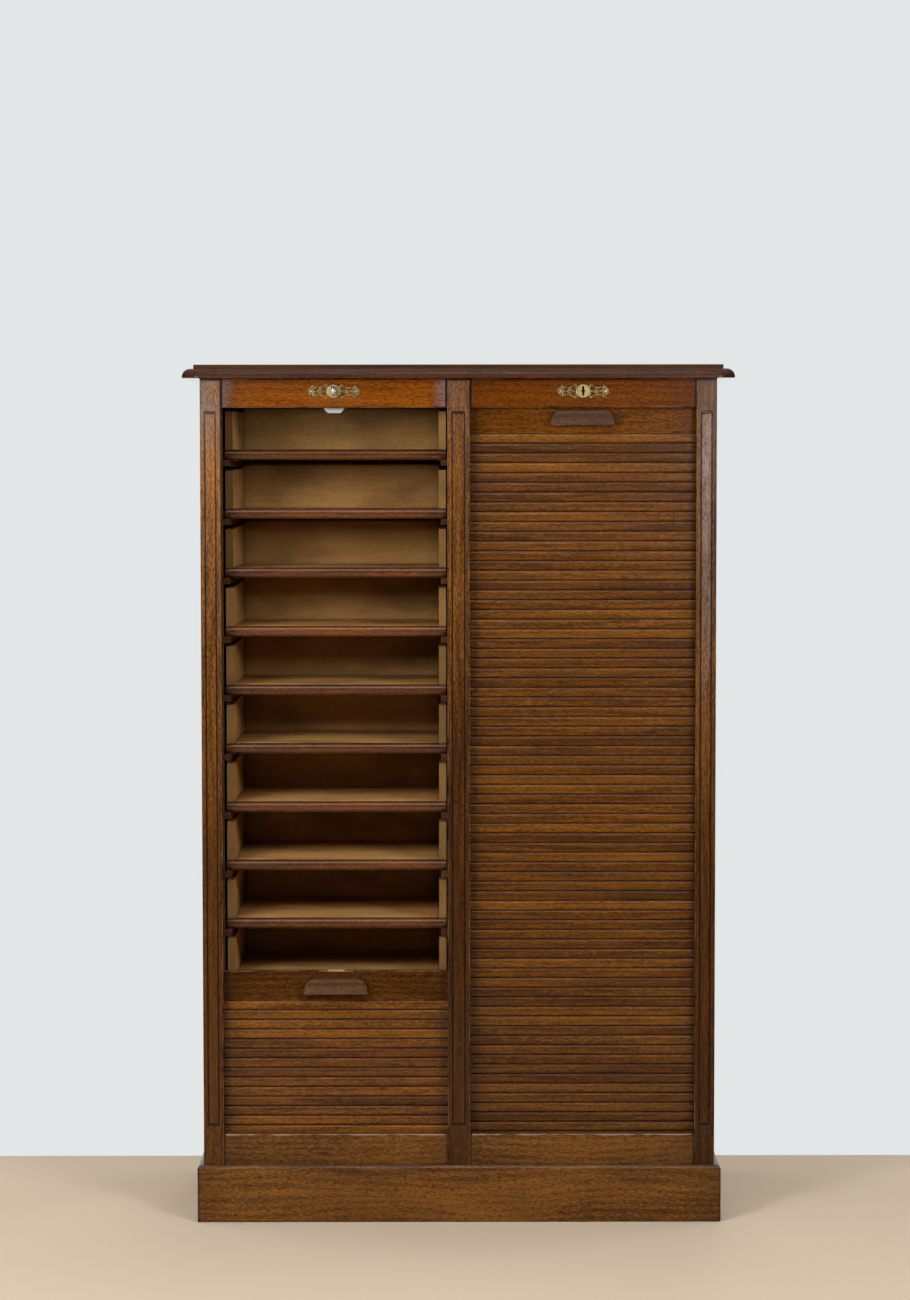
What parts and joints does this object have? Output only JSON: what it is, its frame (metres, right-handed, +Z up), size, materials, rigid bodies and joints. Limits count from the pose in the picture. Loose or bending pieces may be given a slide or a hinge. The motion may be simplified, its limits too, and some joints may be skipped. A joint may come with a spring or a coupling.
{
  "type": "tambour door filing cabinet",
  "caption": "Tall wooden filing cabinet with two side by side bays of shallow pull-out trays, each closed by a slatted roller shutter, on a plinth under a moulded top.",
  "frame": {"origin": "middle of the footprint, on the floor", "axes": "+Z up, front towards -Y, +X to the right seen from the front"},
  "size_m": [1.052, 0.461, 1.6565],
  "materials": {
    "frame_wood": "aged polished mahogany",
    "top_wood": "dark polished mahogany",
    "rail_wood": "warm polished mahogany",
    "inner_wood": "plain dark wood",
    "runner_wood": "red-brown wood",
    "lead_wood": "aged polished mahogany",
    "handle_wood": "worn polished mahogany",
    "slat_wood": "polished mahogany",
    "tray_wood": "bare pale wood with a dark polished lip",
    "brass": "aged cast brass",
    "lock_steel": "worn steel",
    "key_steel": "polished steel",
    "canvas": "woven cotton"
  },
  "bodies": {
    "carcass": {"side_left": "frame_wood", "side_right": "frame_wood", "stile_left": "frame_wood", "stile_right": "frame_wood", "stile_centre": "frame_wood", "bottom_rail_left": "frame_wood", "bottom_rail_right": "frame_wood", "plinth_front": "frame_wood", "plinth_returns": "frame_wood", "top_moulding": "top_wood", "top_board": "top_wood", "top_rail_left": "rail_wood", "top_rail_right": "rail_wood", "partition": "inner_wood", "back_boards": "inner_wood", "base_board": "inner_wood", "bay_floors": "inner_wood", "bay_backs": "inner_wood", "shutter_guides": "inner_wood", "tray_runners": "runner_wood", "escutcheon_left": "brass", "lock_case_left": "lock_steel", "canvas_left": "canvas", "escutcheon_right": "brass", "lock_case_right": "lock_steel", "canvas_right": "canvas", "slats_left_stored": "slat_wood", "slats_right_lower": "slat_wood", "escutcheon_pins": "brass", "tray_left_10": "tray_wood", "tray_right_01": "tray_wood", "tray_right_02": "tray_wood", "tray_right_03": "tray_wood", "tray_right_04": "tray_wood", "tray_right_05": "tray_wood", "tray_right_06": "tray_wood", "tray_right_07": "tray_wood", "tray_right_08": "tray_wood", "tray_right_09": "tray_wood", "tray_right_10": "tray_wood"},
    "left_shutter": {"lead_rail_left": "lead_wood", "handle_left": "handle_wood", "strike_left": "brass", "slats_left_front": "slat_wood"},
    "right_shutter": {"lead_rail_right": "lead_wood", "handle_right": "handle_wood", "strike_right": "brass", "slats_right_top": "slat_wood"},
    "lock_key": {"key": "key_steel"},
    "left_bolt": {"bolt_left": "lock_steel"},
    "right_bolt": {"bolt_right": "lock_steel"},
    "left_tray_01": {"tray_left_01": "tray_wood"},
    "left_tray_02": {"tray_left_02": "tray_wood"},
    "left_tray_03": {"tray_left_03": "tray_wood"},
    "left_tray_04": {"tray_left_04": "tray_wood"},
    "left_tray_05": {"tray_left_05": "tray_wood"},
    "left_tray_06": {"tray_left_06": "tray_wood"},
    "left_tray_07": {"tray_left_07": "tray_wood"},
    "left_tray_08": {"tray_left_08": "tray_wood"},
    "left_tray_09": {"tray_left_09": "tray_wood"}
  },
  "joints": [
    {"name": "left_shutter_slide", "type": "slide", "parent": "carcass", "child": "left_shutter", "axis": [0, 0, 1], "range_m": [-0.043, 1.0993], "deforming": ["slats_left_stored", "canvas_left"]},
    {"name": "right_shutter_slide", "type": "slide", "parent": "carcass", "child": "right_shutter", "axis": [0, 0, 1], "range_m": [-1.1423, 0], "deforming": ["slats_right_lower", "canvas_right"]},
    {"name": "left_tray_01_slide", "type": "slide", "parent": "carcass", "child": "left_tray_01", "axis": [0, 1, 0], "range_m": [-0.24, 0]},
    {"name": "left_tray_02_slide", "type": "slide", "parent": "carcass", "child": "left_tray_02", "axis": [0, 1, 0], "range_m": [-0.24, 0]},
    {"name": "left_tray_03_slide", "type": "slide", "parent": "carcass", "child": "left_tray_03", "axis": [0, 1, 0], "range_m": [-0.24, 0]},
    {"name": "left_tray_04_slide", "type": "slide", "parent": "carcass", "child": "left_tray_04", "axis": [0, 1, 0], "range_m": [-0.24, 0]},
    {"name": "left_tray_05_slide", "type": "slide", "parent": "carcass", "child": "left_tray_05", "axis": [0, 1, 0], "range_m": [-0.24, 0]},
    {"name": "left_tray_06_slide", "type": "slide", "parent": "carcass", "child": "left_tray_06", "axis": [0, 1, 0], "range_m": [-0.24, 0]},
    {"name": "left_tray_07_slide", "type": "slide", "parent": "carcass", "child": "left_tray_07", "axis": [0, 1, 0], "range_m": [-0.24, 0]},
    {"name": "left_tray_08_slide", "type": "slide", "parent": "carcass", "child": "left_tray_08", "axis": [0, 1, 0], "range_m": [-0.24, 0]},
    {"name": "left_tray_09_slide", "type": "slide", "parent": "carcass", "child": "left_tray_09", "axis": [0, 1, 0], "range_m": [-0.24, 0]},
    {"name": "key_turn", "type": "hinge", "parent": "carcass", "child": "lock_key", "pos_m": [-0.23865, -0.19, 1.606], "axis": [0, 1, 0], "range_deg": [0, 90]},
    {"name": "left_bolt_slide", "type": "slide", "parent": "carcass", "child": "left_bolt", "axis": [1, 0, 0], "range_m": [0, 0.006]},
    {"name": "right_bolt_slide", "type": "slide", "parent": "carcass", "child": "right_bolt", "axis": [1, 0, 0], "range_m": [0, 0.006]}
  ],
  "couplings": [
    {"joint": "key_turn", "follows": "left_bolt_slide", "rad_per_m": 261.8}
  ]
}
